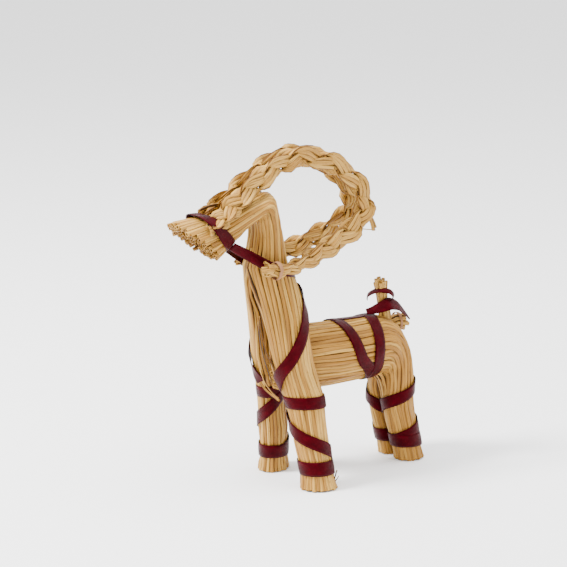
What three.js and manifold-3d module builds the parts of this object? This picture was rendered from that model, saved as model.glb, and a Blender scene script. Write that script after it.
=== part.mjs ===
// A straw goat ornament: straw bundles, two plaited horns, dark red ribbon and raffia ties.
// Millimetres, +Z up. The goat faces -Y, its left side is +X, and the middle plane is X = 0.
// Every piece is worked out on its left side and mirrored, or crosses the middle plane.

import * as THREE from 'three';
import { mergeVertices } from 'three/addons/utils/BufferGeometryUtils.js';
import Module from 'manifold-3d';

const wasm = await Module();
wasm.setup();
const { Manifold, Mesh: SolidMesh } = wasm;

// ---------------------------------------------------------------- driving dimensions

const MID_LENGTH = 13.9;         // Y of the middle of the goat's length in the tables below
const GAP = 0.35;               // clear space between touching pieces
const FLUTE_DEPTH = 1;          // how deep the groove between two straws is
const FINEST = 0.02;            // edges shorter than this are closed up
const SPLIT_LAP = 0.15;         // how far each half of a bundle passes the middle plane

const FRONT_FLUTES = { outer: 8, inner: 3 };
const BODY_FLUTES = { outer: 8, inner: 2 };

const RIBBON_WIDTH = 9.5;
const RIBBON_THICKNESS = 0.8;
const FOOT_LIFT = 1.7;           // the same for the bands round the flared feet
const RIBBON_LIFT = 1.3;        // from the ridges of the straw to the ribbon's inner face

const PLAIT_STRANDS = 15;       // strand folds along each edge of a plait
const PLAIT_WIDE = 8.9;         // half width of a plait across its flat face
const PLAIT_THICK = 4.1;        // half thickness
const PLAIT_RELIEF = 1.2;       // how far the strands stand out and the gaps between them go in
const PLAIT_SIDES = 10;
const ROWS_PER_FOLD = 3;

const RAFFIA_THICKNESS = 0.8;

const TAIL_RADIUS = 5.2;
const TAIL_FLUTES = 6;

// ---------------------------------------------------------------- small helpers

const vec = (x, y, z) => new THREE.Vector3(x, y, z);
const turns = (count, of) => (2 * Math.PI * count) / of;
const mix = (a, b, t) => a + (b - a) * t;

// A smooth value through a list of vectors, read at a station number such as 2.5.
function through(list) {
  const curve = new THREE.CatmullRomCurve3(list, false, 'catmullrom', 0.5);
  const last = list.length - 1;
  return (u) => curve.getPoint(THREE.MathUtils.clamp(u / last, 0, 1));
}

// Rows of points, each a closed ring, become one closed solid.
// closed joins the last row to the first; otherwise each end gets a flat cap.
function loft(rows, closed = false) {
  const around = rows[0].length;
  const positions = rows.flat().flatMap((p) => [p.x, p.y, p.z]);
  const index = [];
  const spans = closed ? rows.length : rows.length - 1;
  for (let r = 0; r < spans; r++) {
    const next = (r + 1) % rows.length;
    for (let k = 0; k < around; k++) {
      const k2 = (k + 1) % around;
      const [a, b] = [r * around + k, r * around + k2];
      const [c, d] = [next * around + k2, next * around + k];
      index.push(a, b, c, a, c, d);
    }
  }
  if (!closed) {
    for (const [row, flip] of [[0, true], [rows.length - 1, false]]) {
      const middle = new THREE.Vector3();
      rows[row].forEach((p) => middle.addScaledVector(p, 1 / around));
      positions.push(middle.x, middle.y, middle.z);
      const hub = positions.length / 3 - 1;
      for (let k = 0; k < around; k++) {
        const [a, b] = [row * around + k, row * around + ((k + 1) % around)];
        index.push(...(flip ? [hub, b, a] : [hub, a, b]));
      }
    }
  }
  return solid(positions, index);
}

function solid(positions, index) {
  const make = (tri) => new Manifold(new SolidMesh({
    numProp: 3,
    vertProperties: new Float32Array(positions),
    triVerts: new Uint32Array(tri),
  }));
  const volume = signedVolume(positions, index);
  if (volume > 0) return make(index);
  const turned = [];
  for (let i = 0; i < index.length; i += 3) turned.push(index[i], index[i + 2], index[i + 1]);
  return make(turned);
}

function signedVolume(positions, index) {
  const at = (i) => vec(...positions.slice(3 * i, 3 * i + 3));
  let six = 0;
  for (let i = 0; i < index.length; i += 3) {
    six += at(index[i]).dot(at(index[i + 1]).cross(at(index[i + 2])));
  }
  return six / 6;
}

// The main body alone, without the specks that crossing shapes pinch off or edges too short
// to matter.
function cleaned(piece) {
  const bodies = piece.simplify(FINEST).decompose();
  return bodies.reduce((best, body) => (body.volume() > best.volume() ? body : best));
}
const mirrored = (piece) => piece.mirror([1, 0, 0]);
const joined = (pieces) => pieces.reduce((whole, piece) => whole.add(piece));

// ---------------------------------------------------------------- bundles of straw

// One station of a bundle's left half: its centre, its half width towards the left (across) and
// its half depth towards the back or top (deep). round says how far the inner side bulges:
// SPLIT_LAP where both halves are still one bundle, 1 where the half is a leg of its own.

// Both halves together: given by the outer and inner point in the middle plane and a half width.
function whole(outerY, outerZ, innerY, innerZ, halfWidth) {
  return {
    centre: vec(0, (outerY + innerY) / 2, (outerZ + innerZ) / 2),
    across: vec(halfWidth, 0, 0),
    deep: vec(0, (outerY - innerY) / 2, (outerZ - innerZ) / 2),
    round: SPLIT_LAP,
  };
}

// One half on its own, cut level: an oval with its long axis turned from +X towards +Y.
function half(x, y, z, longHalf, shortHalf, turnDegrees, round = 1) {
  const turn = THREE.MathUtils.degToRad(turnDegrees);
  return {
    centre: vec(x, y, z),
    across: vec(Math.sin(turn) * shortHalf, -Math.cos(turn) * shortHalf, 0),
    deep: vec(Math.cos(turn) * longHalf, Math.sin(turn) * longHalf, 0),
    round,
  };
}

// One half in the bend over the rump: given by outer and inner points and its own centre line.
function bent(outerY, outerZ, innerY, innerZ, x, halfWidth, round, lean = 0) {
  const station = whole(outerY, outerZ, innerY, innerZ, halfWidth);
  station.centre.x = x;
  station.deep.x = lean;
  station.round = round;
  return station;
}

// The surface of a bundle's left half. at(station, angle, lift) is a point of it, lifted within
// its station; above(station, angle, lift) is a point lifted square to it, with the outward
// normal. Angle 90 is the outer or back side, 0 the left, -90 the inner or front side.
function bundleSurface(stations) {
  const centre = through(stations.map((s) => s.centre));
  const across = through(stations.map((s) => s.across));
  const deep = through(stations.map((s) => s.deep));
  const round = through(stations.map((s) => vec(s.round, 0, 0)));
  function at(u, degrees, lift = 0) {
    const angle = THREE.MathUtils.degToRad(degrees);
    const [a, b] = [across(u), deep(u)];
    if (Math.cos(angle) < 0) a.multiplyScalar(Math.max(round(u).x, SPLIT_LAP));
    const outward = a.clone().multiplyScalar(Math.cos(angle) / a.lengthSq())
      .addScaledVector(b, Math.sin(angle) / b.lengthSq()).normalize();
    return centre(u).addScaledVector(a, Math.cos(angle)).addScaledVector(b, Math.sin(angle))
      .addScaledVector(outward, lift);
  }
  function above(u, degrees, lift) {
    const along = at(u + 0.1, degrees).sub(at(u - 0.1, degrees));
    const around = at(u, degrees + 2).sub(at(u, degrees - 2));
    const normal = along.cross(around).normalize();
    if (normal.dot(at(u, degrees, 1).sub(at(u, degrees))) < 0) normal.negate();
    return { point: at(u, degrees).addScaledVector(normal, lift), normal };
  }
  // 0 where the halves are one bundle, 1 where this half is a leg.
  const parted = (u) => THREE.MathUtils.clamp((round(u).x - SPLIT_LAP) / (0.7 - SPLIT_LAP), 0, 1);
  return { at, above, parted };
}

// A closed half bundle with a ridge for each straw, and none inside where the halves are joined.
// grow makes it larger all over, for a cut.
function halfBundle(surface, flutes, rowStations, grow = 0) {
  const angles = [];
  for (let k = 0; k < 2 * flutes.outer; k++) angles.push(-90 + (180 * k) / (2 * flutes.outer));
  for (let k = 0; k < 2 * flutes.inner; k++) angles.push(90 + (180 * k) / (2 * flutes.inner));
  const rows = rowStations.map((u) => angles.map((angle, k) => {
    const fluted = grow === 0 && k % 2 === 1;
    const depth = angle < 90 ? FLUTE_DEPTH : FLUTE_DEPTH * surface.parted(u);
    return surface.at(u, angle, fluted ? -depth : grow);
  }));
  return loft(rows);
}

function wholeBundle(surface, flutes, rowStations, grow = 0) {
  const left = halfBundle(surface, flutes, rowStations, grow);
  return left.add(mirrored(left));
}

// ---------------------------------------------------------------- front bundle

// From the cut end of the muzzle, up over the head, down the neck and left foreleg to the foot.
const FRONT_STATIONS = [
  whole(-98, 211, -62, 180.5, 18.5),       // cut end of the muzzle
  whole(-80, 213, -56, 185, 16.2),
  whole(-69, 213, -51, 189.5, 15.3),       // under the muzzle ribbon
  whole(-55, 215.5, -43, 196, 15.6),
  whole(-39, 220, -35, 203, 16.2),
  whole(-25, 224.5, -30.5, 206.5, 16.8),
  whole(-12.5, 225, -28.8, 207, 17.2),     // fold behind the ears
  whole(-5.5, 216.5, -27.8, 205, 17.3),
  whole(-3.8, 205, -26.5, 200.5, 17.2),
  whole(-2, 191, -27.5, 189, 17.6),
  whole(0.5, 172, -33, 171, 18.3),         // where the horns end
  half(9.5, -12.5, 152, 19, 10.8, 85, 0.9),
  half(15, -7.5, 129, 15.8, 12, 68),
  half(17, -4.5, 100, 16.5, 11, 63),
  half(18.6, 0, 84, 15.8, 10.5, 62),
  half(22, 3.7, 70, 15, 9.8, 60),          // top of the foreleg
  half(23.5, 6, 54, 14, 10.2, 60),
  half(25, 8, 37, 13.3, 11.2, 60),
  half(28.2, 10.4, 17, 12.3, 10.3, 60),    // under the foot band
  half(29.4, 11, 8, 13.2, 11, 60),
  half(30.2, 11.6, 0, 14.8, 12.2, 60),     // cut end of the foot
];
const FRONT_ROWS = [0, 1, 1.7, 2.4, 4, 5.2, 6, 6.7, 7.6, 10, 10.9, 12, 13, 14, 15, 16.5, 18, 20];
const frontSurface = bundleSurface(FRONT_STATIONS);

// ---------------------------------------------------------------- body bundle

// From its front end between the forelegs, back along the trunk, over the rump to the left foot.
const BODY_STATIONS = [
  whole(-10, 115, -10, 75, 5.5),           // front end, held between the halves
  whole(2, 119.5, 2, 70.5, 10),
  whole(12, 121, 12, 69, 16),
  whole(27, 121, 27, 69.5, 22.5),
  whole(50, 119.8, 50, 70.5, 23.7),
  whole(70, 119, 69, 70.5, 23.8),
  whole(87, 119, 81, 71, 23.6),
  bent(101, 113, 85, 70, 3, 19.5, 0.2, 1.5),
  bent(109, 99, 87, 67.5, 6.5, 15.5, 0.5, 3),
  bent(111.5, 83, 88, 64, 9.5, 12.4, 0.75, 4.5),
  bent(112, 66, 89, 58, 11, 10.6, 0.76, 5.6),
  half(11, 102, 49, 12.6, 10, 65, 0.76),
  half(11, 106.2, 33, 12.3, 9.8, 65, 0.76),
  half(11.1, 110.3, 17, 11.8, 9.6, 65, 0.76),
  half(11.2, 113, 6, 12, 9.8, 65, 0.85),
  half(11.3, 114.4, 0, 12.6, 10.3, 65, 0.9),    // cut end of the foot
];
const BODY_ROWS = [0, 1.1, 2.1, 3, 4.3, 6, 6.8, 7.6, 8.4, 9.2, 10, 10.5, 11, 11.5, 12, 13, 14, 15];
const bodySurface = bundleSurface(BODY_STATIONS);

// ---------------------------------------------------------------- tail

// A round fluted bundle along a path, used for the tail and for its stub ends.
function smallBundle(points, radii, flutes, rows, grow = 0) {
  const path = through(points);
  const radius = through(radii.map((r) => vec(r, 0, 0)));
  const last = points.length - 1;
  const rings = [];
  for (let r = 0; r <= rows; r++) {
    const u = (last * r) / rows;
    const forward = path(u + 0.05).sub(path(u - 0.05)).normalize();
    const sideways = vec(1, 0, 0).addScaledVector(forward, -forward.x).normalize();
    const upward = forward.clone().cross(sideways);
    const ring = [];
    for (let k = 0; k < 2 * flutes; k++) {
      const angle = turns(k, 2 * flutes);
      const reach = radius(u).x + grow - (grow === 0 && k % 2 === 1 ? FLUTE_DEPTH : 0);
      ring.push(path(u).addScaledVector(sideways, reach * Math.cos(angle))
        .addScaledVector(upward, reach * Math.sin(angle)));
    }
    rings.push(ring);
  }
  return loft(rings);
}

function tailBundle(grow = 0) {
  const tail = smallBundle(
    [vec(0, 97.5, 100), vec(0, 97, 118), vec(0, 94, 132), vec(0, 92, 147)],
    [TAIL_RADIUS + 0.8, TAIL_RADIUS, TAIL_RADIUS - 0.6, TAIL_RADIUS + 1],
    TAIL_FLUTES, 5, grow,
  );
  const stubs = smallBundle(
    [vec(0, 95, 108), vec(1, 106, 111), vec(2, 115, 110)],
    [TAIL_RADIUS, TAIL_RADIUS + 1, TAIL_RADIUS + 2],
    TAIL_FLUTES, 3, grow,
  );
  return tail.add(stubs);
}

// ---------------------------------------------------------------- plaited horns

// The left horn's centre line, from the muzzle ribbon, over the head and back to the neck.
const HORN_POINTS = [
  vec(13.5, -65, 210.5),
  vec(11, -56.5, 216.5),
  vec(8, -41, 226.5),
  vec(6.3, -22.5, 238.5),
  vec(5.8, -3, 248.2),
  vec(5.8, 19, 250),
  vec(6.2, 45, 240.6),
  vec(7.2, 63.5, 224),
  vec(8.8, 69.5, 206.5),
  vec(10.8, 57.5, 193.5),
  vec(13, 38.5, 184.5),
  vec(16, 20.5, 178),
  vec(19.8, 3.5, 174),
  vec(23.6, -10.5, 172),
];
// Where raffia binds each horn to the side of the neck, and how its loose end lies past that.
const HORN_TIED = { left: vec(25.5, -24, 172.2), right: vec(25, -17, 172.4) };
const LOOSE_END = { left: vec(1, -14, 3), right: vec(0.5, -6, 1) };
const HORN_MIDDLE = vec(0, 8, 208);        // what the plait's width points away from
const HORN_LEAN = [0.8, 0.6, 0.3, 0.1];    // how far its top leans in, at the first stations

// The horn on the left side, tied off as it or its twin is. grow is for a cut.
function plait(side, grow = 0) {
  const end = HORN_TIED[side].clone().add(LOOSE_END[side]);
  const path = through([...HORN_POINTS, HORN_TIED[side], end]);
  const last = HORN_POINTS.length + 1;

  // The plait's own axes at a station: away from the loop's middle, and out of its flat face.
  function axes(u) {
    const centre = path(u);
    const forward = path(u + 0.1).sub(path(u - 0.1)).normalize();
    const leanHere = HORN_LEAN[Math.floor(u)] ?? 0;
    const leanNext = HORN_LEAN[Math.floor(u) + 1] ?? 0;
    const away = centre.clone().sub(HORN_MIDDLE).setX(0).normalize();
    away.x = -mix(leanHere, leanNext, u - Math.floor(u));
    away.addScaledVector(forward, -away.dot(forward)).normalize();
    return { centre, away, sideways: away.clone().cross(forward).normalize() };
  }

  // How wide the plait is against its full width: less where it starts, little where it is bound.
  function spread(u) {
    const start = 0.66 + 0.34 * THREE.MathUtils.smoothstep(u, 0, 5);
    const end = 1 - 0.5 * THREE.MathUtils.smoothstep(u, 10, 13.5);
    return start * end + 0.2 * THREE.MathUtils.smoothstep(u, 14, 15);
  }

  // How far the strands stand out: each fold rises from a notch and falls away along the plait,
  // slants back from both edges to the middle of the face, and the edges take turns.
  function relief(row, toEdge) {
    const turn = row / ROWS_PER_FOLD + 0.5 * (1 - Math.abs(toEdge)) + (toEdge < 0 ? 0.5 : 0);
    const along = turn - Math.floor(turn);
    return along < 0.25 ? mix(-1, 1, along * 4) : mix(1, -1, (along - 0.25) / 0.75);
  }

  const rowCount = PLAIT_STRANDS * ROWS_PER_FOLD;
  const rows = [];
  for (let row = 0; row <= rowCount; row++) {
    const u = (last * row) / rowCount;
    const { centre, away, sideways } = axes(u);
    const ring = [];
    for (let k = 0; k < PLAIT_SIDES; k++) {
      const [c, s] = [Math.cos(turns(k, PLAIT_SIDES)), Math.sin(turns(k, PLAIT_SIDES))];
      const out = grow > 0 ? PLAIT_RELIEF + grow : PLAIT_RELIEF * relief(row, c);
      ring.push(centre.clone().addScaledVector(away, (PLAIT_WIDE * spread(u) + out) * c)
        .addScaledVector(sideways, (PLAIT_THICK + out) * s));
    }
    rows.push(ring);
  }
  return loft(rows);
}

// ---------------------------------------------------------------- ribbon and raffia

// A flat strap through points with an outward normal at each: inner face on the points.
function strap(places, width = RIBBON_WIDTH, thickness = RIBBON_THICKNESS, closed = false) {
  const count = places.length;
  const rows = places.map(({ point, normal }, i) => {
    const before = places[closed ? (i + count - 1) % count : Math.max(i - 1, 0)].point;
    const after = places[closed ? (i + 1) % count : Math.min(i + 1, count - 1)].point;
    const forward = after.clone().sub(before).normalize();
    const out = normal.clone().addScaledVector(forward, -normal.dot(forward)).normalize();
    const side = forward.clone().cross(out).multiplyScalar((places[i].width ?? width) / 2);
    const lift = out.clone().multiplyScalar(thickness);
    return [
      point.clone().sub(side), point.clone().add(side),
      point.clone().add(side).add(lift), point.clone().sub(side).add(lift),
    ];
  });
  return loft(rows, closed);
}

// Places along a straight run in station and angle over a bundle's surface.
function route(surface, from, to, steps, lift = RIBBON_LIFT) {
  const places = [];
  for (let i = 0; i <= steps; i++) {
    const t = i / steps;
    places.push(surface.above(mix(from.u, to.u, t), mix(from.angle, to.angle, t), lift));
  }
  return places;
}

const RING_STEPS = 10;
const ring = (surface, u, lift) => route(surface, { u, angle: 0 }, { u, angle: 360 }, RING_STEPS, lift).slice(1);

// Places along a run through several stops in station and angle.
function routeThrough(surface, stops, steps, lift = RIBBON_LIFT) {
  const curve = through(stops.map(([u, angle]) => vec(u, angle, 0)));
  const last = stops.length - 1;
  const places = [];
  for (let i = 0; i <= steps; i++) {
    const stop = curve((last * i) / steps);
    places.push(surface.above(stop.x, stop.y, lift));
  }
  return places;
}

// The same places on the right side, in the opposite order, so that both make one run.
const otherSide = (places) => places.map(({ point, normal }) => ({
  point: point.clone().setX(-point.x),
  normal: normal.clone().setX(-normal.x),
})).reverse();

// Band round the top of the left foreleg, a turn and more down the leg, and the foot band.
function forelegRibbon() {
  const topBand = strap(ring(frontSurface, 15.1, RIBBON_LIFT + 0.2), RIBBON_WIDTH, RIBBON_THICKNESS, true);
  const footBand = strap(ring(frontSurface, 17.95, FOOT_LIFT), RIBBON_WIDTH + 1.5, RIBBON_THICKNESS, true);
  const stops = [[15.2, -190], [15.5, -150], [16.45, -60], [17.1, 30], [17.6, 120], [17.95, 230]];
  return joined([topBand, strap(routeThrough(frontSurface, stops, 12, RIBBON_LIFT + 0.1)), footBand]);
}

// From the groin over the back of the left hind leg, round its front and down to the foot band.
function hindlegRibbon() {
  const footBand = strap(ring(bodySurface, 12.95, FOOT_LIFT), RIBBON_WIDTH + 1.5, RIBBON_THICKNESS, true);
  const stops = [[9.9, 170], [10, 110], [10.2, 55], [11.5, -140], [12.3, -300], [12.95, -420]];
  return strap(routeThrough(bodySurface, stops, 17, RIBBON_LIFT + 0.5)).add(footBand).trimByPlane([1, 0, 0], GAP / 2);
}

// From behind the neck, down both sides and forward to where the forelegs part.
function chestRibbon() {
  const stops = [[10.95, 90], [11.5, 70], [12.25, 35], [12.8, 0], [13.4, -40], [14.1, -75], [14.4, -92]];
  const left = routeThrough(frontSurface, stops, 11, RIBBON_LIFT + 0.3);
  return strap([...otherSide(left), ...left.slice(1)]);
}

// Round the muzzle, then back from its underside to both sides of the neck and round behind it.
function bridleRibbon() {
  const half = route(frontSurface, { u: 2, angle: -90 }, { u: 1.6, angle: 90 }, 7);
  const muzzle = strap([...half, ...otherSide(half).slice(1, -1)], RIBBON_WIDTH, RIBBON_THICKNESS, true);
  const start = frontSurface.above(2, -58, RIBBON_LIFT + 0.2);
  const wrap = route(frontSurface, { u: 9.85, angle: -30 }, { u: 10.5, angle: 90 }, 6);
  const between = {
    point: start.point.clone().lerp(wrap[0].point, 0.55).add(vec(1.5, 0, -0.5)),
    normal: start.normal.clone().add(wrap[0].normal).normalize(),
  };
  const left = [start, between, ...wrap];
  return muzzle.add(strap([...left, ...otherSide(left).slice(1)], RIBBON_WIDTH * 0.85));
}

// Along the spine from the knot, down both sides in a V, and under the belly.
function girthRibbon() {
  const foreStops = [[3.95, 90], [4, 60], [4.3, 0], [4.75, -25], [5.15, -50], [5.35, -75], [5.4, -90]];
  const fore = routeThrough(bodySurface, foreStops, 8, RIBBON_LIFT + 0.2);
  const aftStops = [[5.6, 90], [5.4, 55], [5.25, 0], [5.3, -28], [5.35, -60]];
  const aft = routeThrough(bodySurface, aftStops, 6, RIBBON_LIFT + 0.3);
  const foreLoop = strap([...fore, ...otherSide(fore).slice(1, -1)], RIBBON_WIDTH, RIBBON_THICKNESS, true);
  const aftLoop = strap([...otherSide(aft), ...aft.slice(1)]);
  const spine = strap(route(bodySurface, { u: 3.8, angle: 90 }, { u: 5.6, angle: 90 }, 3), 6);
  return joined([foreLoop, aftLoop, spine, girthKnot()]);
}

function girthKnot() {
  const knot = new THREE.IcosahedronGeometry(1, 0);
  knot.scale(4.2, 4, 2.6);
  knot.translate(1, 78, 122);
  knot.deleteAttribute('normal');
  knot.deleteAttribute('uv');
  const shell = mergeVertices(knot, 1e-4);
  return solid(Array.from(shell.attributes.position.array), Array.from(shell.index.array));
}

// Round the tail, then a wide tongue laid over its foot that narrows to a point behind.
function tailRibbon() {
  const loop = [];
  for (let k = 0; k < 12; k++) {
    const normal = vec(Math.cos(turns(k, 12)), Math.sin(turns(k, 12)), 0.15);
    loop.push({ point: vec(0, 93.2, 136).addScaledVector(normal, TAIL_RADIUS + 2 * GAP), normal });
  }
  const tongue = [
    [vec(5, 84.5, 124.2), 5], [vec(8, 89, 127), 9], [vec(9.5, 95, 128.5), 11], [vec(9.8, 101, 126.5), 9],
    [vec(9.5, 108, 120.5), 5], [vec(9, 115, 113.5), 1.2],
  ];
  const lead = strap([
    { point: vec(5.5, 93.2, 135.5), normal: vec(1, 0, 0.2) },
    { point: vec(7.2, 95, 131), normal: vec(1, 0, 0.4) },
    { point: vec(9, 96, 127.8), normal: vec(1, 0, 0.6) },
  ], 4);
  return joined([
    strap(loop, 4.5, RIBBON_THICKNESS + 0.2, true),
    lead,
    strap(tongue.map(([point, width]) => ({ point, width, normal: vec(0.75, 0.1, 0.65).normalize() }))),
  ]);
}

// Raffia bound a few turns round something oval: a ring about a centre, square to forward.
function raffiaRing(centre, forward, up, halfWide, halfHigh, width, grow = 0) {
  const along = forward.clone().normalize();
  const high = up.clone().addScaledVector(along, -up.dot(along)).normalize();
  const wide = high.clone().cross(along);
  const places = [];
  for (let k = 0; k < 12; k++) {
    const [c, s] = [Math.cos(turns(k, 12)), Math.sin(turns(k, 12))];
    places.push({
      point: centre.clone().addScaledVector(wide, halfWide * c).addScaledVector(high, halfHigh * s),
      normal: wide.clone().multiplyScalar(c / halfWide).addScaledVector(high, s / halfHigh).normalize(),
    });
  }
  return strap(places, width + 2 * grow, RAFFIA_THICKNESS + grow, true);
}

function hornTie(side, grow = 0) {
  const forward = HORN_TIED[side].clone().sub(HORN_POINTS[HORN_POINTS.length - 1]);
  return raffiaRing(HORN_TIED[side], forward, vec(0, 0, 1), 5.7, 6.7, 2.6, grow);
}

const tailTie = () => raffiaRing(vec(0.6, 109, 111), vec(0.1, 1, 0), vec(0, 0, 1), 7.6, 7.6, 1.6);

// ---------------------------------------------------------------- the goat

const STRAW_LOOK = { color: 0xd9b670, roughness: 0.62, metalness: 0 };
const PLAIT_LOOK = { color: 0xdcbd7c, roughness: 0.58, metalness: 0 };
const RIBBON_LOOK = { color: 0x5e0714, roughness: 0.45, metalness: 0 };
const RAFFIA_LOOK = { color: 0xcaa878, roughness: 0.8, metalness: 0 };

function meshOf(name, piece, look) {
  const { numProp, vertProperties, triVerts } = cleaned(piece).getMesh();
  const geometry = new THREE.BufferGeometry();
  geometry.setAttribute('position', new THREE.BufferAttribute(new Float32Array(vertProperties), numProp));
  geometry.setIndex(new THREE.BufferAttribute(new Uint32Array(triVerts), 1));
  const mesh = new THREE.Mesh(mergeVertices(geometry, 1e-5), new THREE.MeshStandardMaterial(look));
  mesh.name = name;
  return mesh;
}

const goat = new THREE.Group();
goat.position.y = -MID_LENGTH;

const bodySolid = wholeBundle(bodySurface, BODY_FLUTES, BODY_ROWS);
const bodyRoom = wholeBundle(bodySurface, BODY_FLUTES, BODY_ROWS, GAP);
const leftHorn = plait('left');
const rightHorn = mirrored(plait('right'));
const hornRoom = plait('left', GAP).add(mirrored(plait('right', GAP)));
const front = wholeBundle(frontSurface, FRONT_FLUTES, FRONT_ROWS).subtract(bodyRoom).subtract(hornRoom);
const tieRoom = hornTie('left', GAP).add(mirrored(hornTie('right', GAP)));
const forelegWrap = forelegRibbon();
const hindlegWrap = hindlegRibbon().subtract(bodyRoom);

goat.add(meshOf('front_bundle', front, STRAW_LOOK));
goat.add(meshOf('body_bundle', bodySolid.subtract(tailBundle(GAP)), STRAW_LOOK));
goat.add(meshOf('tail_bundle', tailBundle(), STRAW_LOOK));
goat.add(meshOf('left_horn', leftHorn, PLAIT_LOOK));
goat.add(meshOf('right_horn', rightHorn, PLAIT_LOOK));
goat.add(meshOf('left_horn_tie', hornTie('left'), RAFFIA_LOOK));
goat.add(meshOf('right_horn_tie', mirrored(hornTie('right')), RAFFIA_LOOK));
goat.add(meshOf('bridle_ribbon', bridleRibbon().subtract(hornRoom).subtract(tieRoom), RIBBON_LOOK));
goat.add(meshOf('chest_ribbon', chestRibbon(), RIBBON_LOOK));
goat.add(meshOf('left_foreleg_ribbon', forelegWrap, RIBBON_LOOK));
goat.add(meshOf('right_foreleg_ribbon', mirrored(forelegWrap), RIBBON_LOOK));
goat.add(meshOf('girth_ribbon', girthRibbon().subtract(bodyRoom), RIBBON_LOOK));
goat.add(meshOf('left_hindleg_ribbon', hindlegWrap, RIBBON_LOOK));
goat.add(meshOf('right_hindleg_ribbon', mirrored(hindlegWrap), RIBBON_LOOK));
goat.add(meshOf('tail_ribbon', tailRibbon(), RIBBON_LOOK));
goat.add(meshOf('tail_tie', tailTie(), RAFFIA_LOOK));

export default goat;
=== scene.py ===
"""A straw goat: bound straw bundles, two plaited horns, dark red satin ribbon and raffia ties.

The tables below are in millimetres, +Z up. The goat faces -Y and its left side is +X.
Pieces are laid on its left side and mirrored, with each side's straws jittered on their own.
"""

import functools
import math

import bpy
import numpy as np
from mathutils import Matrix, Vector


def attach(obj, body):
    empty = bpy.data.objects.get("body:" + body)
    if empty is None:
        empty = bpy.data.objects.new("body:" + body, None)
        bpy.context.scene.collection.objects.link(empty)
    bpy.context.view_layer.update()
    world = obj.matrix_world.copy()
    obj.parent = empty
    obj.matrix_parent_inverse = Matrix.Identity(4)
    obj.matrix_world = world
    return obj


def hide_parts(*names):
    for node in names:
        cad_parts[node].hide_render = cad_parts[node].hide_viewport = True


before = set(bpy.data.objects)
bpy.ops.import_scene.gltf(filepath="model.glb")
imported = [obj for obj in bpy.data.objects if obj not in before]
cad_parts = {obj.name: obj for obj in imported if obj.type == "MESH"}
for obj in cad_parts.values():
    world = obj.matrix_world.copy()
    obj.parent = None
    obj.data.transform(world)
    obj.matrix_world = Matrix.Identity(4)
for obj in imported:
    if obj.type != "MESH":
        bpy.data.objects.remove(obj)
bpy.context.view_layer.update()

bl_info = {
    "name": "Straw goat",
    "version": (1, 0, 0),
    "blender": (4, 5, 0),
    "location": "View3D > Sidebar > Straw goat",
    "description": "Builds a straw goat ornament of bound straws, plaits, ribbon and raffia",
    "category": "Object",
}

MM = 0.001
MID_LENGTH = 13.9  # Y of the middle of the goat's length in the tables
SPLIT_LAP = 0.15  # how far each half of a bundle passes the middle plane
TINY = 1e-9  # keeps a division from failing


# ---------------------------------------------------------------- settings


class GoatStrawSettings(bpy.types.PropertyGroup):
    """Sizes and colours of the straws"""

    radius: bpy.props.FloatProperty(
        name="Straw radius", description="Half the thickness of a straw",
        default=0.00165, unit="LENGTH",
    )
    bore: bpy.props.FloatProperty(
        name="Bore depth", description="How deep the hollow at a cut end is modelled",
        default=0.004, unit="LENGTH",
    )
    wander: bpy.props.FloatProperty(
        name="Wander", description="How far a straw strays from its place in the bundle",
        default=0.0004, unit="LENGTH",
    )
    pale: bpy.props.FloatVectorProperty(
        name="Pale straw", description="Colour of the palest straws",
        default=(0.5, 0.295, 0.07), subtype="COLOR", min=0, max=1,
    )
    golden: bpy.props.FloatVectorProperty(
        name="Golden straw", description="Colour of most straws",
        default=(0.33, 0.155, 0.022), subtype="COLOR", min=0, max=1,
    )
    brown: bpy.props.FloatVectorProperty(
        name="Brown straw", description="Colour of the darkest straws and of the specks",
        default=(0.12, 0.045, 0.008), subtype="COLOR", min=0, max=1,
    )


class GoatRibbonSettings(bpy.types.PropertyGroup):
    """Sizes and colours of the ribbon and raffia"""

    width: bpy.props.FloatProperty(
        name="Ribbon width", description="Width of the satin ribbon",
        default=0.0094, unit="LENGTH",
    )
    thickness: bpy.props.FloatProperty(
        name="Ribbon thickness", description="Thickness of the satin ribbon",
        default=0.0004, unit="LENGTH",
    )
    red: bpy.props.FloatVectorProperty(
        name="Ribbon red", description="Colour of the ribbon",
        default=(0.03, 0.0003, 0.0016), subtype="COLOR", min=0, max=1,
    )
    raffia: bpy.props.FloatVectorProperty(
        name="Raffia", description="Colour of the raffia ties",
        default=(0.3, 0.14, 0.06), subtype="COLOR", min=0, max=1,
    )


class GoatStageSettings(bpy.types.PropertyGroup):
    """Floor, light and camera"""

    floor_size: bpy.props.FloatProperty(
        name="Floor size", description="Width of the pale floor", default=12.0, unit="LENGTH",
    )
    light: bpy.props.FloatProperty(
        name="Light", description="Strength of the surrounding light", default=2.1, min=0,
    )
    turn: bpy.props.FloatProperty(
        name="Camera turn", description="Turn of the camera round the goat from its front",
        default=math.radians(55.0), subtype="ANGLE",
    )
    tilt: bpy.props.FloatProperty(
        name="Camera tilt", description="Height of the camera above level",
        default=math.radians(12.6), subtype="ANGLE",
    )


# ---------------------------------------------------------------- curves through tables


def through(points):
    """A smooth value through a list of vectors, read at station numbers such as 2.5."""
    points = np.array(points, float)
    ends = np.vstack([2 * points[0] - points[1], points, 2 * points[-1] - points[-2]])
    last = len(points) - 1

    def at(u):
        u = np.clip(np.asarray(u, float), 0, last)
        i = np.minimum(np.floor(u).astype(int), last - 1)
        w = (u - i)[..., None]
        a, b, c, d = ends[i], ends[i + 1], ends[i + 2], ends[i + 3]
        return 0.5 * (2 * b + (c - a) * w + (2 * a - 5 * b + 4 * c - d) * w**2
                      + (3 * b - a - 3 * c + d) * w**3)

    return at


def unit(vectors):
    """The vectors brought to length 1."""
    length = np.linalg.norm(vectors, axis=-1, keepdims=True)
    return vectors / np.maximum(length, TINY)


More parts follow.
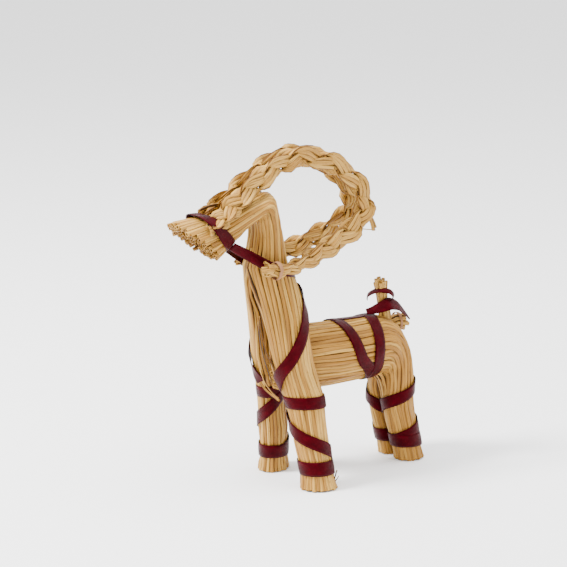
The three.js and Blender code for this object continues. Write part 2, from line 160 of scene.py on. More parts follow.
def square(vectors, forward):
    """The vectors turned square to the way forward, with length 1."""
    return unit(vectors - forward * np.sum(vectors * forward, -1, keepdims=True))


def run_along(path):
    """How far along a path each of its points lies."""
    return np.concatenate([[0], np.cumsum(np.linalg.norm(np.diff(path, axis=0), axis=1))])


def smooth(value, low, high):
    """0 below low, 1 above high, and an even turn between them."""
    t = np.clip((value - low) / (high - low), 0, 1)
    return t * t * (3 - 2 * t)


def wave(rng, u, size, pitch):
    """A gentle random wander of about that size, which turns every few stations."""
    total = 0
    for octave in (1.0, 2.3):
        phase, speed = rng.uniform(0, 2 * math.pi), rng.uniform(0.7, 1.3) * octave / pitch
        total = total + np.sin(2 * math.pi * u * speed + phase) * size / octave
    return total


# ---------------------------------------------------------------- bundles


def whole(outer_y, outer_z, inner_y, inner_z, half_width, x=0, round_=SPLIT_LAP, lean=0):
    """A section across both halves, from its outer and inner point in the middle plane.

    Where the halves part, x is how far out the left one stands, round_ the share of its width
    that its inner side has, and lean how far its outer point leans out."""
    centre = (x, (outer_y + inner_y) / 2, (outer_z + inner_z) / 2)
    deep = (lean, (outer_y - inner_y) / 2, (outer_z - inner_z) / 2)
    return centre, (half_width, 0, 0), deep, (round_,)


def half(x, y, z, long_half, short_half, turn, round_=1.0):
    """A level section of one half: an oval with its long axis turned from +X towards +Y."""
    cos, sin = math.cos(math.radians(turn)), math.sin(math.radians(turn))
    across = (sin * short_half, -cos * short_half, 0)
    return (x, y, z), across, (cos * long_half, sin * long_half, 0), (round_,)


class Bundle:
    """The left half of a bundle. Angle 90 is its outer or back side, 0 its left side and
    -90 its inner or front side."""

    def __init__(self, *stations):
        self.centre, self.across, self.deep, self.round = map(through, zip(*stations))

    def at(self, u, degrees, lift=0.0):
        """Points at stations and angles, lifted outward within their sections."""
        u, degrees = np.broadcast_arrays(np.asarray(u, float), np.asarray(degrees, float))
        cos, sin = np.cos(np.radians(degrees))[..., None], np.sin(np.radians(degrees))[..., None]
        a, b = self.across(u), self.deep(u)
        a = np.where(cos < 0, a * np.maximum(self.round(u), SPLIT_LAP), a)
        outward = unit(a * cos / np.sum(a * a, -1, keepdims=True)
                       + b * sin / np.sum(b * b, -1, keepdims=True))
        return self.centre(u) + a * cos + b * sin + outward * np.asarray(lift)[..., None]

    def above(self, u, degrees, lift):
        """Points lifted square to the surface, and the outward normals there."""
        along = self.at(u + 0.1, degrees) - self.at(u - 0.1, degrees)
        around = self.at(u, degrees + 2) - self.at(u, degrees - 2)
        normal = unit(np.cross(along, around))
        surface = self.at(u, degrees)
        outward = self.at(u, degrees, 1.0) - surface
        normal = np.where(np.sum(normal * outward, -1, keepdims=True) < 0, -normal, normal)
        return surface + normal * np.asarray(lift)[..., None], normal


# From the cut end of the muzzle, over the head, down the neck and left foreleg to the foot.
FRONT = Bundle(
    whole(-98, 211, -62, 180.5, 18.5),
    whole(-80, 213, -56, 185, 16.2),
    whole(-69, 213, -51, 189.5, 15.3),
    whole(-55, 215.5, -43, 196, 15.6),
    whole(-39, 220, -35, 203, 16.2),
    whole(-25, 224.5, -30.5, 206.5, 16.8),
    whole(-14.5, 227, -28.8, 206, 17.4),
    whole(-10.5, 215.5, -28, 203, 17.3),
    whole(-7.8, 204, -27, 199, 17.2),
    whole(-4.4, 190, -28, 188, 17.6),
    whole(0.3, 172, -33, 171, 18.3),
    half(9.5, -12.5, 152, 19, 10.8, 85, 0.9),
    half(15, -7.5, 129, 15.8, 12, 68),
    half(17, -4.5, 100, 16.5, 11, 63),
    half(18.6, 0, 84, 15.8, 10.5, 62),
    half(22, 3.7, 70, 15, 9.8, 60),
    half(23.5, 6, 54, 14, 10.2, 60),
    half(25, 8, 37, 13.3, 11.2, 60),
    half(28.2, 10.4, 17, 12.3, 10.3, 60),
    half(29.4, 11, 8, 13.2, 11, 60),
    half(30.2, 11.6, 0, 14.8, 12.2, 60),
)

# From its front end between the forelegs, along the trunk, over the rump to the left foot.
BODY = Bundle(
    whole(-10, 115, -10, 75, 5.5),
    whole(2, 119.5, 2, 70.5, 10),
    whole(12, 121, 12, 69, 16),
    whole(27, 121, 27, 69.5, 22.5),
    whole(50, 119.8, 50, 70.5, 23.7),
    whole(70, 119, 69, 70.5, 23.8),
    whole(87, 119, 81, 71, 23.6),
    whole(101, 113, 85, 70, 19.5, 3, 0.2, 1.5),
    whole(109, 99, 87, 67.5, 15.5, 6.5, 0.5, 3),
    whole(111.5, 83, 88, 64, 12.4, 9.5, 0.75, 4.5),
    whole(112, 66, 89, 58, 10.6, 11, 0.76, 5.6),
    half(11, 102, 49, 12.6, 10, 65, 0.76),
    half(11, 106.2, 33, 12.3, 9.8, 65, 0.76),
    half(11.1, 110.3, 17, 11.8, 9.6, 65, 0.76),
    half(11.2, 113, 6, 12, 9.8, 65, 0.85),
    half(11.3, 114.4, 0, 12.6, 10.3, 65, 0.9),
)


# ---------------------------------------------------------------- modelling helpers


def deselect():
    """Leave edit mode and select nothing."""
    if bpy.context.mode != "OBJECT":
        bpy.ops.object.mode_set(mode="OBJECT")
    bpy.ops.object.select_all(action="DESELECT")


def select(objects):
    """Select only these objects, with the first one active."""
    deselect()
    for o in objects:
        o.select_set(True)
    bpy.context.view_layer.objects.active = objects[0]


def whole_mesh(operator, **values):
    """Run an edit operator on all of the active mesh."""
    bpy.ops.object.mode_set(mode="EDIT")
    bpy.ops.mesh.select_all(action="SELECT")
    operator(**values)
    bpy.ops.object.mode_set(mode="OBJECT")


def pick(mesh, face=None, edge=None):
    """Select the faces that face(f) accepts or the edges whose ends edge(a, b) accepts."""
    bpy.ops.object.mode_set(mode="OBJECT")
    for v in mesh.vertices:
        v.select = False
    for f in mesh.polygons:
        f.select = face(f) if face else False
    for e in mesh.edges:
        e.select = edge(*(mesh.vertices[i].co for i in e.vertices)) if edge else False
    bpy.ops.object.mode_set(mode="EDIT")


def vertex_places(mesh):
    """The coordinates of a mesh's vertices, one row each."""
    co = np.empty(len(mesh.vertices) * 3)
    mesh.vertices.foreach_get("co", co)
    return co.reshape(-1, 3)


def into_row(points):
    """Millimetres of the tables to metres of the finished goat."""
    points = np.array(points, float)
    points[..., 1] -= MID_LENGTH
    return points * MM


BORE_WALL = 0.26  # of the straw's half size, as is the next
BORE_REACH = 0.9  # vertices nearer the middle than this belong to a bore


class MasterStraw:
    """One straw modelled once: a tube with hollow cut ends, and rings along it.

    Copies take its faces. For each vertex, section is its place in the straw's section, ring
    the ring it belongs to, and depth the way it stands into the bore of an end, or 0."""

    def __init__(self, rings, sides):
        deselect()
        bpy.ops.mesh.primitive_cylinder_add(
            vertices=sides, radius=1, depth=2, end_fill_type="NGON", location=(0, 0, 0))
        tube = bpy.context.object
        mesh = self.mesh = tube.data
        bpy.ops.object.mode_set(mode="EDIT")
        bpy.ops.mesh.select_mode(type="FACE")
        pick(mesh, face=lambda f: abs(f.normal.z) > 0.9)
        bpy.ops.mesh.inset(thickness=BORE_WALL, depth=0)
        for sign in (1, -1):
            pick(mesh, face=lambda f: f.normal.z * sign > 0.9 and f.center.z * sign > 0.99
                 and all(math.hypot(*mesh.vertices[i].co[:2]) < BORE_REACH for i in f.vertices))
            bpy.ops.mesh.extrude_region_move(
                TRANSFORM_OT_translate={"value": (0, 0, -0.3 * sign)})
        bpy.ops.mesh.select_mode(type="EDGE")
        pick(mesh, edge=lambda a, b: abs(a.z - b.z) > 1.9)
        bpy.ops.mesh.subdivide(number_cuts=rings - 2)
        bpy.ops.object.mode_set(mode="OBJECT")
        co = vertex_places(mesh)
        bore = np.hypot(co[:, 0], co[:, 1]) < BORE_REACH
        self.section = co[:, :2].copy()
        along = (co[:, 2] + 1) / 2 * (rings - 1)
        along[bore] = np.where(co[bore, 2] > 0, rings - 1, 0)
        self.ring = np.rint(along).astype(int)
        self.depth = np.where(bore & (np.abs(co[:, 2]) < 0.95), -np.sign(co[:, 2]), 0.0)
        mesh.shade_smooth()
        bpy.data.objects.remove(tube)


@functools.cache
def master(rings, sides):
    """The master straw with that many rings and sides."""
    return MasterStraw(rings, sides)


FIBRE_SPREAD = 900  # each straw's fibre starts somewhere in this many millimetres
FLANK_PAINTED_LIGHT = 0.25  # painted light level at a straw's sides, where 1 is fully lit and less is painted shade
CUT_PAINTED_LIGHT = 0.75  # painted light level of its cut ends at least


def straw_along(path, out, wide, thick, rng, bore=None, sides=8, tone=None, shade=1.0,
                both_faces=False, edge=1.0):
    """A copy of the master straw laid along a path, all in millimetres.

    path is the centre of each ring, out the way its thickness points, and wide and thick its
    half sizes. shade is painted shade that darkens the colour of a straw that lies deeper, and
    edge above 1 draws its section out to a point at each side, as a flattened straw has. It
    keeps its own straight coordinates, so that the fibre runs along it."""
    path = np.asarray(path, float)
    count = len(path)
    tube = master(count, sides)
    wide, thick = np.broadcast_to(wide, count), np.broadcast_to(thick, count)
    forward = unit(np.gradient(path, axis=0))
    out = square(out, forward)
    side = np.cross(forward, out)
    i = tube.ring
    bore = bpy.context.scene.goat_straw.bore / MM if bore is None else bore
    turn = 0 if edge > 1 else rng.uniform(0, 2 * math.pi / sides)
    c, s = math.cos(turn), math.sin(turn)
    x = tube.section[:, 0] * c - tube.section[:, 1] * s
    y = tube.section[:, 0] * s + tube.section[:, 1] * c
    reach = np.hypot(x, y)
    if edge > 1:
        y = np.sign(y) * reach * (np.abs(y) / np.maximum(reach, TINY)) ** edge
    co = (path[i] + side[i] * (x * wide[i])[:, None] + out[i] * (y * thick[i])[:, None]
          + forward[i] * (tube.depth * bore)[:, None])
    mesh = tube.mesh.copy()
    mesh.vertices.foreach_set("co", into_row(co).ravel())
    along = run_along(path)[i] + tube.depth * bore
    fibre = np.stack([x * wide[i], y * thick[i], along], axis=1)
    fibre += rng.uniform(0, FIBRE_SPREAD, 3)
    # Painted shade: a straw gets a lower light level at its sides and where it lies deeper, and the
    # material paints it darker there; its cut ends keep a fair light level.
    facing = np.abs(y / reach) if both_faces else y / reach
    painted_light_level = np.clip(FLANK_PAINTED_LIGHT + facing, 0, 1) * shade
    ends = (i == 0) | (i == count - 1)
    painted_light_level[ends] = np.maximum(painted_light_level[ends], CUT_PAINTED_LIGHT)
    tone = rng.uniform(0, 1) if tone is None else tone
    # hollow marks the bores of the cut ends, which the material paints nearly black as painted
    # shade.
    for label, kind, values in (
        ("fibre", "FLOAT_VECTOR", fibre),
        ("tone", "FLOAT", np.full(len(co), tone)),
        ("hollow", "FLOAT", np.where(tube.depth != 0, 1.0, 0.0)),
        ("painted_light_level", "FLOAT", painted_light_level),
    ):
        layer = mesh.attributes.new(label, kind, "POINT")
        layer.data.foreach_set("vector" if kind == "FLOAT_VECTOR" else "value", values.ravel())
    straw = bpy.data.objects.new("straw", mesh)
    bpy.context.collection.objects.link(straw)
    return straw


def on_side(side, points):
    """Points or ways of the left side for 1, and their mirror image for -1."""
    return points * (side, 1, 1)


def joined(parts, name):
    """The parts joined into one object of that name."""
    select(parts)
    bpy.ops.object.join()
    piece = bpy.context.object
    piece.name = piece.data.name = name
    return piece


def dressed(piece, slot, *nodes):
    """Ride the piece on the goat, and let it stand for its solids."""
    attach(piece, "root")
    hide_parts(*nodes)


def straw_piece(straws, name, look, slot, node):
    """The straws of one bundle as one piece, facing out."""
    piece = joined(straws, name)
    piece.data.materials.append(finish(look))
    bpy.ops.object.shade_smooth_by_angle(angle=math.radians(50))
    dressed(piece, slot, node)


# ---------------------------------------------------------------- materials


class Shader:
    """A new material. Its methods add nodes to it and give their outputs."""

    def __init__(self, name):
        self.material = bpy.data.materials.new(name)
        self.material.use_nodes = True
        self.tree = self.material.node_tree

    def feed(self, node, inputs):
        """Set a node's inputs to values, or link them to outputs of other nodes."""
        for name, value in inputs.items():
            socket = node.inputs[name]
            if isinstance(value, bpy.types.NodeSocket):
                self.tree.links.new(value, socket)
            elif socket.type == "RGBA":
                socket.default_value = (*value, 1)
            else:
                socket.default_value = value

    def node(self, kind, inputs, **settings):
        """A new node with these settings and inputs."""
        node = self.tree.nodes.new("ShaderNode" + kind)
        for name, value in settings.items():
            setattr(node, name, value)
        self.feed(node, inputs)
        return node

    def ramp(self, value, *stops):
        """The colour that a value takes from stops, each a place and a colour or grey level."""
        node = self.node("ValToRGB", {"Fac": value})
        elements = node.color_ramp.elements
        while len(elements) < len(stops):
            elements.new(0.5)
        for element, (place, colour) in zip(elements, stops):
            element.position = place
            element.color = (*np.broadcast_to(colour, 3), 1)
        return node.outputs["Color"]

    def mix(self, kind, factor, a, b):
        """Two colours mixed or multiplied."""
        node = self.node("Mix", {"Factor": factor, "A": a, "B": b}, data_type="RGBA",
                         blend_type=kind)
        return node.outputs["Result"]

    def attribute(self, name, output="Fac"):
        """A value that each point of the mesh carries."""
        return self.node("Attribute", {}, attribute_name=name).outputs[output]

    def noise(self, vector, scale, detail, roughness=0.5):
        """Noise stretched along the axes of the vector."""
        place = self.node("Mapping", {"Vector": vector, "Scale": scale}).outputs["Vector"]
        inputs = {"Vector": place, "Scale": 1.0, "Detail": detail, "Roughness": roughness}
        return self.node("TexNoise", inputs).outputs["Fac"]

    def fibre_noise(self, across, along, detail):
        """Noise in the straw's own straight coordinates, stretched along the fibre."""
        fibre = self.attribute("fibre", "Vector")
        return self.noise(fibre, (across, across, along), detail, 0.55)

    def bump(self, height, strength, distance):
        """Normals raised by a height."""
        inputs = {"Height": height, "Strength": strength, "Distance": distance}
        return self.node("Bump", inputs).outputs["Normal"]

    def finished(self, inputs):
        """The material, with these inputs of its surface set or linked."""
        self.feed(self.tree.nodes["Principled BSDF"], inputs)
        return self.material


def scaled(colour, by):
    """The colour times a number, or times one number for each channel."""
    return tuple(c * float(b) for c, b in zip(colour, np.broadcast_to(by, 3)))


def straw_material(name, golden_share=0.5):
    """Waxy straw: each its own tone, with fibre streaks, brown blotches and specks, and with
    painted shade that darkens the bores, the sides of straws, the gaps between them and deeper
    straws."""
    look = bpy.context.scene.goat_straw
    pale, golden, brown = (tuple(c) for c in (look.pale, look.golden, look.brown))
    between = tuple((p + g) / 2 for p, g in zip(pale, golden))
    darkest = tuple(0.6 * g + 0.4 * b for g, b in zip(golden, brown))
    shader = Shader(name)
    streaks = shader.fibre_noise(2.4, 0.035, 4.0)
    blotches = shader.fibre_noise(0.35, 0.045, 2.0)
    specks = shader.fibre_noise(0.9, 0.32, 1.0)
    base = shader.ramp(shader.attribute("tone"), (0.0, pale), (0.9 - golden_share, between),
                       (1.3 - golden_share, golden), (1.0, darkest))
    tint = shader.ramp(streaks, (0.34, (0.36, 0.28, 0.18)), (0.5, (0.92, 0.9, 0.84)),
                       (0.68, (1.15, 1.15, 1.12)))
    colour = shader.mix("MULTIPLY", 0.9, base, tint)
    mask = shader.ramp(blotches, (0.54, 0), (0.72, 0.6))
    colour = shader.mix("MIX", mask, colour, golden)
    mask = shader.ramp(specks, (0.7, 0), (0.75, 0.85))
    colour = shader.mix("MIX", mask, colour, brown)
    # Painted shade: colour darkened where the light level is low, at the sides of straws, in the
    # gaps between them and on deeper straws.
    painted_gap_shade = shader.ramp(shader.attribute("painted_light_level"), (0.12, (0.06, 0.03, 0.01)),
                      (0.5, (0.36, 0.24, 0.12)), (0.85, 1))
    colour = shader.mix("MULTIPLY", 1.0, colour, painted_gap_shade)
    # Painted shade: the bores of the cut ends are painted nearly black.
    colour = shader.mix("MIX", shader.attribute("hollow"), colour, scaled(brown, 0.12))
    return shader.finished({
        "Base Color": colour,
        "Roughness": shader.ramp(streaks, (0.3, 0.6), (0.7, 0.38)),
        "Specular IOR Level": 0.3,
        "Specular Tint": (1.0, 0.86, 0.6),
        "Normal": shader.bump(streaks, 0.6, 0.00035),
    })


def ribbon_material():
    """Satin ribbon: fine weave across it, threads along it, darker selvedges, painted shade and
    painted sheen along its folds, and a soft gloss.
    """
    red = tuple(bpy.context.scene.goat_ribbon.red)
    shader = Shader("dark_red_satin")
    place = shader.node("UVMap", {}, uv_map="weave").outputs["UV"]
    across = shader.node("SeparateXYZ", {"Vector": place}).outputs["X"]
    threads = shader.noise(place, (55.0, 1.4, 1.0), 2.0)
    painted_fold_light = shader.noise(place, (2.2, 0.12, 1.0), 3.0)
    weave = shader.node("TexWave", {"Vector": place, "Scale": 1.1, "Distortion": 0.6},
                        bands_direction="Y").outputs["Fac"]
    # Painted shade and painted sheen: the fold noise darkens the red in some places and lightens it
    # in others, as light falls on folds.
    colour = shader.ramp(painted_fold_light, (0.3, scaled(red, 0.55)), (0.55, red),
                         (0.75, scaled(red, (1.7, 2.2, 2.0))))
    thread_shade = shader.ramp(threads, (0.3, 0.72), (0.7, 1.15))
    colour = shader.mix("MULTIPLY", 1.0, colour, thread_shade)
    selvedges = shader.ramp(across, (0.0, 0.5), (0.06, 1), (0.94, 1), (1.0, 0.5))
    height = shader.node("Math", {0: weave, 1: threads}, operation="ADD").outputs[0]
    return shader.finished({
        "Base Color": shader.mix("MULTIPLY", 1.0, colour, selvedges),
        "Roughness": 0.42,
        "Specular IOR Level": 0.16,
        "Specular Tint": (0.9, 0.06, 0.12),
        "Normal": shader.bump(height, 0.35, 0.00012),
    })


def raffia_material():
    """Dry raffia: matt, pale and pinkish, with split fibres along it."""
    raffia = tuple(bpy.context.scene.goat_ribbon.raffia)
    shader = Shader("dry_raffia")
    streaks = shader.fibre_noise(4.0, 0.05, 4.0)
    return shader.finished({
        "Base Color": shader.ramp(streaks, (0.3, scaled(raffia, 0.5)), (0.6, raffia),
                                  (0.8, scaled(raffia, 1.25))),
        "Roughness": 0.7,
        "Specular IOR Level": 0.25,
        "Normal": shader.bump(streaks, 0.5, 0.0002),
    })


@functools.cache
def finish(name):
    """The material of that name, made once."""
    makers = {
        "straw": lambda: straw_material("golden_straw"),
        "plait": lambda: straw_material("flattened_straw", 0.4),
        "ribbon": ribbon_material,
        "raffia": raffia_material,
    }
    return makers[name]()


# ---------------------------------------------------------------- straws in a bundle


class Girth:
    """Angles round a bundle at some rows, spaced evenly along its surface.

    A place from 0 to 1 runs over the outer half from front or belly to back, and from 1 to 2
    back over the side that faces the other half."""

    def __init__(self, bundle, rows):
        self.bundle, self.rows = bundle, np.asarray(rows, float)
        self.angles = np.linspace(-90, 270, 181)
        points = bundle.at(self.rows[:, None], self.angles[None, :])
        run = np.cumsum(np.linalg.norm(np.diff(points, axis=1), axis=2), axis=1)
        run = np.hstack([np.zeros((len(self.rows), 1)), run])
        outer = run[:, 90:91]
        self.place = np.where(run <= outer, run / outer, 1 + (run - outer) / (run[:, -1:] - outer))

    def path(self, place, inset):
        """Centres and outward ways of a straw that keeps its place, one for each row."""
        place = np.broadcast_to(place, len(self.rows))
        angle = np.array([np.interp(p % 2, row, self.angles) for p, row in zip(place, self.place)])
        lift = -np.broadcast_to(inset, len(self.rows)).astype(float)
        line = self.bundle.at(self.rows, angle, lift)
        return line, self.bundle.at(self.rows, angle, 1.0) - self.bundle.at(self.rows, angle, 0.0)


def straightened(line, rows, low, high, amount):
    """The line drawn towards the straight run between two rows."""
    first, last = np.searchsorted(rows, low), np.searchsorted(rows, high)
    run = run_along(line)
    t = np.clip((run - run[first]) / (run[last] - run[first]), 0, 1)[:, None]
    inside = ((rows > low) & (rows < high))[:, None]
    straight = line[first] + (line[last] - line[first]) * t
    return np.where(inside, line + (straight - line) * amount, line)


SKIN_INSET = 1.6  # depth of the outermost straws under the surface


def bundle_straw(girth, side, place, inset, rng, ends=(None, None), width=None, sides=8,
                 shade=1.0, straighten=None, creases=()):
    """One straw that keeps its place in a bundle.

    side is 1 for the left half and -1 for the right, inset its depth under the surface by
    row, and ends the range of how far it stands past its first and last row. creases holds
    the rows where it is folded, each with how far it strays and how long and thin it is."""
    extras = [rng.uniform(*reach) if reach else 0 for reach in ends]
    creases = [(row + rng.normal(0, stray) if stray else row, reach, thin)
               for row, stray, reach, thin in creases]
    look = bpy.context.scene.goat_straw
    radius, stray = look.radius / MM, look.wander / MM
    rows = girth.rows
    place = place + wave(rng, rows, 0.006, 5.0)
    line, out = girth.path(place, inset + wave(rng, rows, stray, 4.0))
    if straighten:
        line = straightened(line, rows, *straighten)
    wide = (width or radius) * rng.uniform(0.92, 1.1) * (1 + wave(rng, rows, 0.03, 2.0))
    thick = radius * rng.uniform(0.86, 1.0) * (1 + wave(rng, rows, 0.04, 2.0))
    for row, reach, thin in creases:
        fold = np.exp(-(((rows - row) / reach) ** 2))
        thick = thick * (1 - (1 - thin) * fold)
        wide = wide * (1 + (1 - thin) * 0.45 * fold)
        line = line + unit(out) * (fold * rng.uniform(-0.5, 0.9))[:, None]
    line, out = on_side(side, line), on_side(side, out)
    for at, near, extra in ((0, 1, extras[0]), (-1, -2, extras[1])):
        step = line[at] - line[near]
        line[at] = line[at] + unit(step) * max(extra, -0.6 * np.linalg.norm(step))
    tone = np.clip(rng.normal(0.45, 0.3), 0, 1)
    return straw_along(line, out, wide, thick, rng, sides=sides, tone=tone, shade=shade)


def outer_half(girth, side, count, skin, under_inset, under, rng, straight=lambda place: None):
    """Straws over the outer half of a bundle, and as many under the gaps between them.

    skin and under are the settings of both kinds, and straight how each is straightened."""
    straws = []
    for k in range(count):
        for place, inset, settings in ((k + 0.5, SKIN_INSET, skin), (k + 1, under_inset, under)):
            straws.append(bundle_straw(girth, side, place / count, inset, rng,
                                       straighten=straight(k / count), **settings))
    return straws


def inner_face(girth, side, count, rng):
    """Straws along the face of one half that lies against the other half."""
    return [bundle_straw(girth, side, 1 + (k + 0.5) / count, SKIN_INSET, rng, (None, (-1.6, 0)),
                         shade=0.8) for k in range(count)]


def filling(girth, side, layers, ends, rng, shade, around=1):
    """Straws inside a bundle, which show at its cut ends.

    layers holds the inset of each layer and its number of straws. They fill the outer half of
    the girth, or all of it if around is 2."""
    return [bundle_straw(girth, side, around * (k + rng.uniform(0.3, 0.7)) / count, inset, rng,
                         ends, sides=6, shade=shade)
            for inset, count in layers for k in range(count)]


LOOSE_RINGS = 8


def loose_straw(points, radius, rng, thin=0.7):
    """A straw on its own, through points in millimetres."""
    line = through(points)(np.linspace(0, len(points) - 1, LOOSE_RINGS))
    forward = unit(np.gradient(line, axis=0))
    out = np.cross(forward, rng.normal(0, 1, 3))
    return straw_along(line, out, radius, radius * thin, rng, sides=6, tone=0.3)


FRONT_ROWS = np.array([0, 0.5, 1, 1.6, 2.3, 3, 3.8, 4.5, 5.1, 5.6, 6, 6.4, 6.9, 7.6, 8.4, 9.2, 10,
                       10.6, 11.2, 11.8, 12.4, 13, 13.6, 14.2, 14.8, 15.5, 16.2, 17, 17.7, 18.4,
                       19.2, 20])
BODY_ROWS = np.array([0, 0.8, 1.6, 2.5, 3.5, 4.5, 5.5, 6.1, 6.6, 7, 7.4, 7.8, 8.2, 8.6, 9, 9.5, 10,
                      10.6, 11.3, 12, 12.7, 13.4, 14.2, 15])
# How the straws of each bundle differ: those at its surface, and those under the gaps.
FRONT_SKIN = dict(width=1.72, ends=((-4, 1.8), (-1.6, 0)), creases=[(6, 0.1, 0.55, 0.45)])
FRONT_UNDER = dict(width=1.6, sides=6, shade=0.7, ends=((-5, 1.5), (-2, 0)),
                   creases=[(6, 0, 0.7, 0.5)])
BODY_SKIN = dict(width=1.75, ends=((-3, 0), (-1.6, 0)), creases=[(7.8, 0.25, 0.7, 0.6)])
BODY_UNDER = dict(width=1.7, sides=6, ends=((-3, 0), (-2, 0)), creases=[(7.6, 0.25, 0.7, 0.6)])
# Layers of filling: the inset of each and its number of straws.
MUZZLE_LAYERS = [(4.6, 13), (7.6, 10), (10.6, 7), (13.6, 5), (16.6, 3)]
FOREFOOT_LAYERS = [(4.7, 18), (7.8, 11), (10.4, 5)]
TRUNK_LAYERS = [(4.3, 22), (7.4, 16), (10.6, 12), (14, 8), (18, 4)]
HINDFOOT_LAYERS = [(4.6, 15), (7.4, 9), (9.8, 3)]
# Straws that have come loose: four from the chest, and two slivers at the left forefoot.
LOOSE_STRAWS = [
    ([(1, -22.5, 133), (3, -22.5, 121), (8, -20.5, 105), (15.5, -15.5, 88)], 0.9),
    ([(-5, -18, 80), (-1, -16.2, 75), (6, -14.6, 71.5), (13, -13, 69)], 1.1),
    ([(-4, -18.5, 90), (0, -17, 81), (6, -15, 74.5), (12, -13, 70.5)], 0.9),
    ([(-1.5, -22, 128), (0, -20, 108), (2, -16, 92), (6, -13, 78)], 1.1),
    ([(34, 18.5, 3), (36.8, 21, 7), (38.4, 22.4, 14.5)], 0.55),
    ([(33, 20, 2), (35.8, 23, 5), (37.4, 25, 9)], 0.45),
]


class GOAT_OT_front_bundle(bpy.types.Operator):
    """Straws of the head, neck and forelegs"""

    bl_idname = "goat.front_bundle"
    bl_label = "Front bundle"

    def execute(self, context):
        rng = np.random.default_rng(11)
        full = Girth(FRONT, FRONT_ROWS)
        lower = Girth(FRONT, FRONT_ROWS[FRONT_ROWS >= 9.2])
        muzzle = Girth(FRONT, [0, 0.4, 0.8, 1.2, 1.7, 2.4, 3.2])
        feet = Girth(FRONT, np.linspace(17.4, 20, 5))
        under = 3.6 + 1.2 * smooth(FRONT_ROWS, 9, 12)
        under_muzzle = 1.5 + 2.6 * smooth(muzzle.rows, 1.0, 2.6)

        def chest(place):
            """Only the straws at the front run straight past the fork of the chest."""
            return 9.5, 15.6, 0.7 * float(1 - smooth(place, 0.25, 0.5))

        straws = []
        for side in (1, -1):
            straws += outer_half(full, side, 14, FRONT_SKIN, under, FRONT_UNDER, rng, chest)
            straws += inner_face(lower, side, 12, rng)
            straws += [bundle_straw(muzzle, side, (k + rng.uniform(0.8, 1.2)) / 14, under_muzzle,
                                    rng, ((-4, 1.5), None), width=1.55, sides=6)
                       for k in range(13)]
            straws += filling(muzzle, side, MUZZLE_LAYERS, ((-3, 1.5), None), rng, 0.85)
            straws += filling(feet, side, FOREFOOT_LAYERS, (None, (-2, 0)), rng, 0.8, around=2)
        straws += [loose_straw(points, radius, rng) for points, radius in LOOSE_STRAWS]
        straw_piece(straws, "front_straws", "straw", "straw", "front_bundle")
        return {"FINISHED"}


class GOAT_OT_body_bundle(bpy.types.Operator):
    """Straws of the trunk, rump and hind legs"""

    bl_idname = "goat.body_bundle"
    bl_label = "Body bundle"

    def execute(self, context):
        rng = np.random.default_rng(23)
        full = Girth(BODY, BODY_ROWS)
        lower = Girth(BODY, BODY_ROWS[BODY_ROWS >= 7.4])
        trunk = Girth(BODY, BODY_ROWS[BODY_ROWS <= 9.5])
        front_end = Girth(BODY, [0, 1, 2, 3])
        feet = Girth(BODY, np.linspace(13, 15, 4))
        # Every second straw dives at the rump, where the girth is less.
        under = 1.7 + 3.0 * smooth(BODY_ROWS, 6.2, 9.5)
        straws = []
        for side in (1, -1):
            straws += outer_half(full, side, 12, BODY_SKIN, under, BODY_UNDER, rng)
            straws += inner_face(lower, side, 13, rng)
            straws += filling(trunk, side, TRUNK_LAYERS[:1], ((-3, 0), None), rng, 0.6)
            straws += filling(front_end, side, TRUNK_LAYERS[1:], ((-3, 0), None), rng, 0.6)
            straws += filling(feet, side, HINDFOOT_LAYERS, (None, (-2, 0)), rng, 0.8, around=2)
        straw_piece(straws, "body_straws", "straw", "straw", "body_bundle")
        return {"FINISHED"}


# ---------------------------------------------------------------- tail


TAIL_STRAWS = 9
TAIL_HALF_WIDE = 1.6


def round_straws(points, radii, rings, rng):
    """Straws side by side round a path, and one layer inside."""
    path = through(points)
    radius = through([(r,) for r in radii])
    rows = np.linspace(0, len(points) - 1, rings)
    forward = unit(path(rows + 0.05) - path(rows - 0.05))
    sideways = square(np.array([1.0, 0, 0]), forward)
    upward = np.cross(forward, sideways)
    straws = []
    for inset, number in ((1.45, TAIL_STRAWS), (4.0, TAIL_STRAWS // 2)):
        for k in range(number):
            angle = 2 * math.pi * (k + rng.uniform(-0.15, 0.15)) / number
            angle = angle + wave(rng, rows, 0.06, 2.0)
            out = sideways * np.cos(angle)[:, None] + upward * np.sin(angle)[:, None]
            line = path(rows) + out * np.maximum(radius(rows) - inset, 0.2)
            line[-1] += forward[-1] * rng.uniform(-3.5, 1.5)
            tone = np.clip(rng.normal(0.35, 0.2), 0, 1)
            straws.append(straw_along(line, out, TAIL_HALF_WIDE, TAIL_HALF_WIDE * 0.85, rng,
                                      tone=tone))
    return straws


class GOAT_OT_tail(bpy.types.Operator):
    """Straws of the tail and of the stub behind it"""

    bl_idname = "goat.tail"
    bl_label = "Tail"

    def execute(self, context):
        rng = np.random.default_rng(37)
        tail = round_straws([(0, 97.5, 100), (0, 97, 118), (0, 94, 132), (0, 92, 147)],
                            [5.8, 5.2, 4.6, 6.0], 7, rng)
        stub = round_straws([(0, 95, 108), (1, 106, 111), (2, 115, 110)],
                            [5.2, 6.0, 7.0], 5, rng)
        straw_piece(tail + stub, "tail_straws", "straw", "straw", "tail_bundle")
        return {"FINISHED"}


# ---------------------------------------------------------------- plaited horns

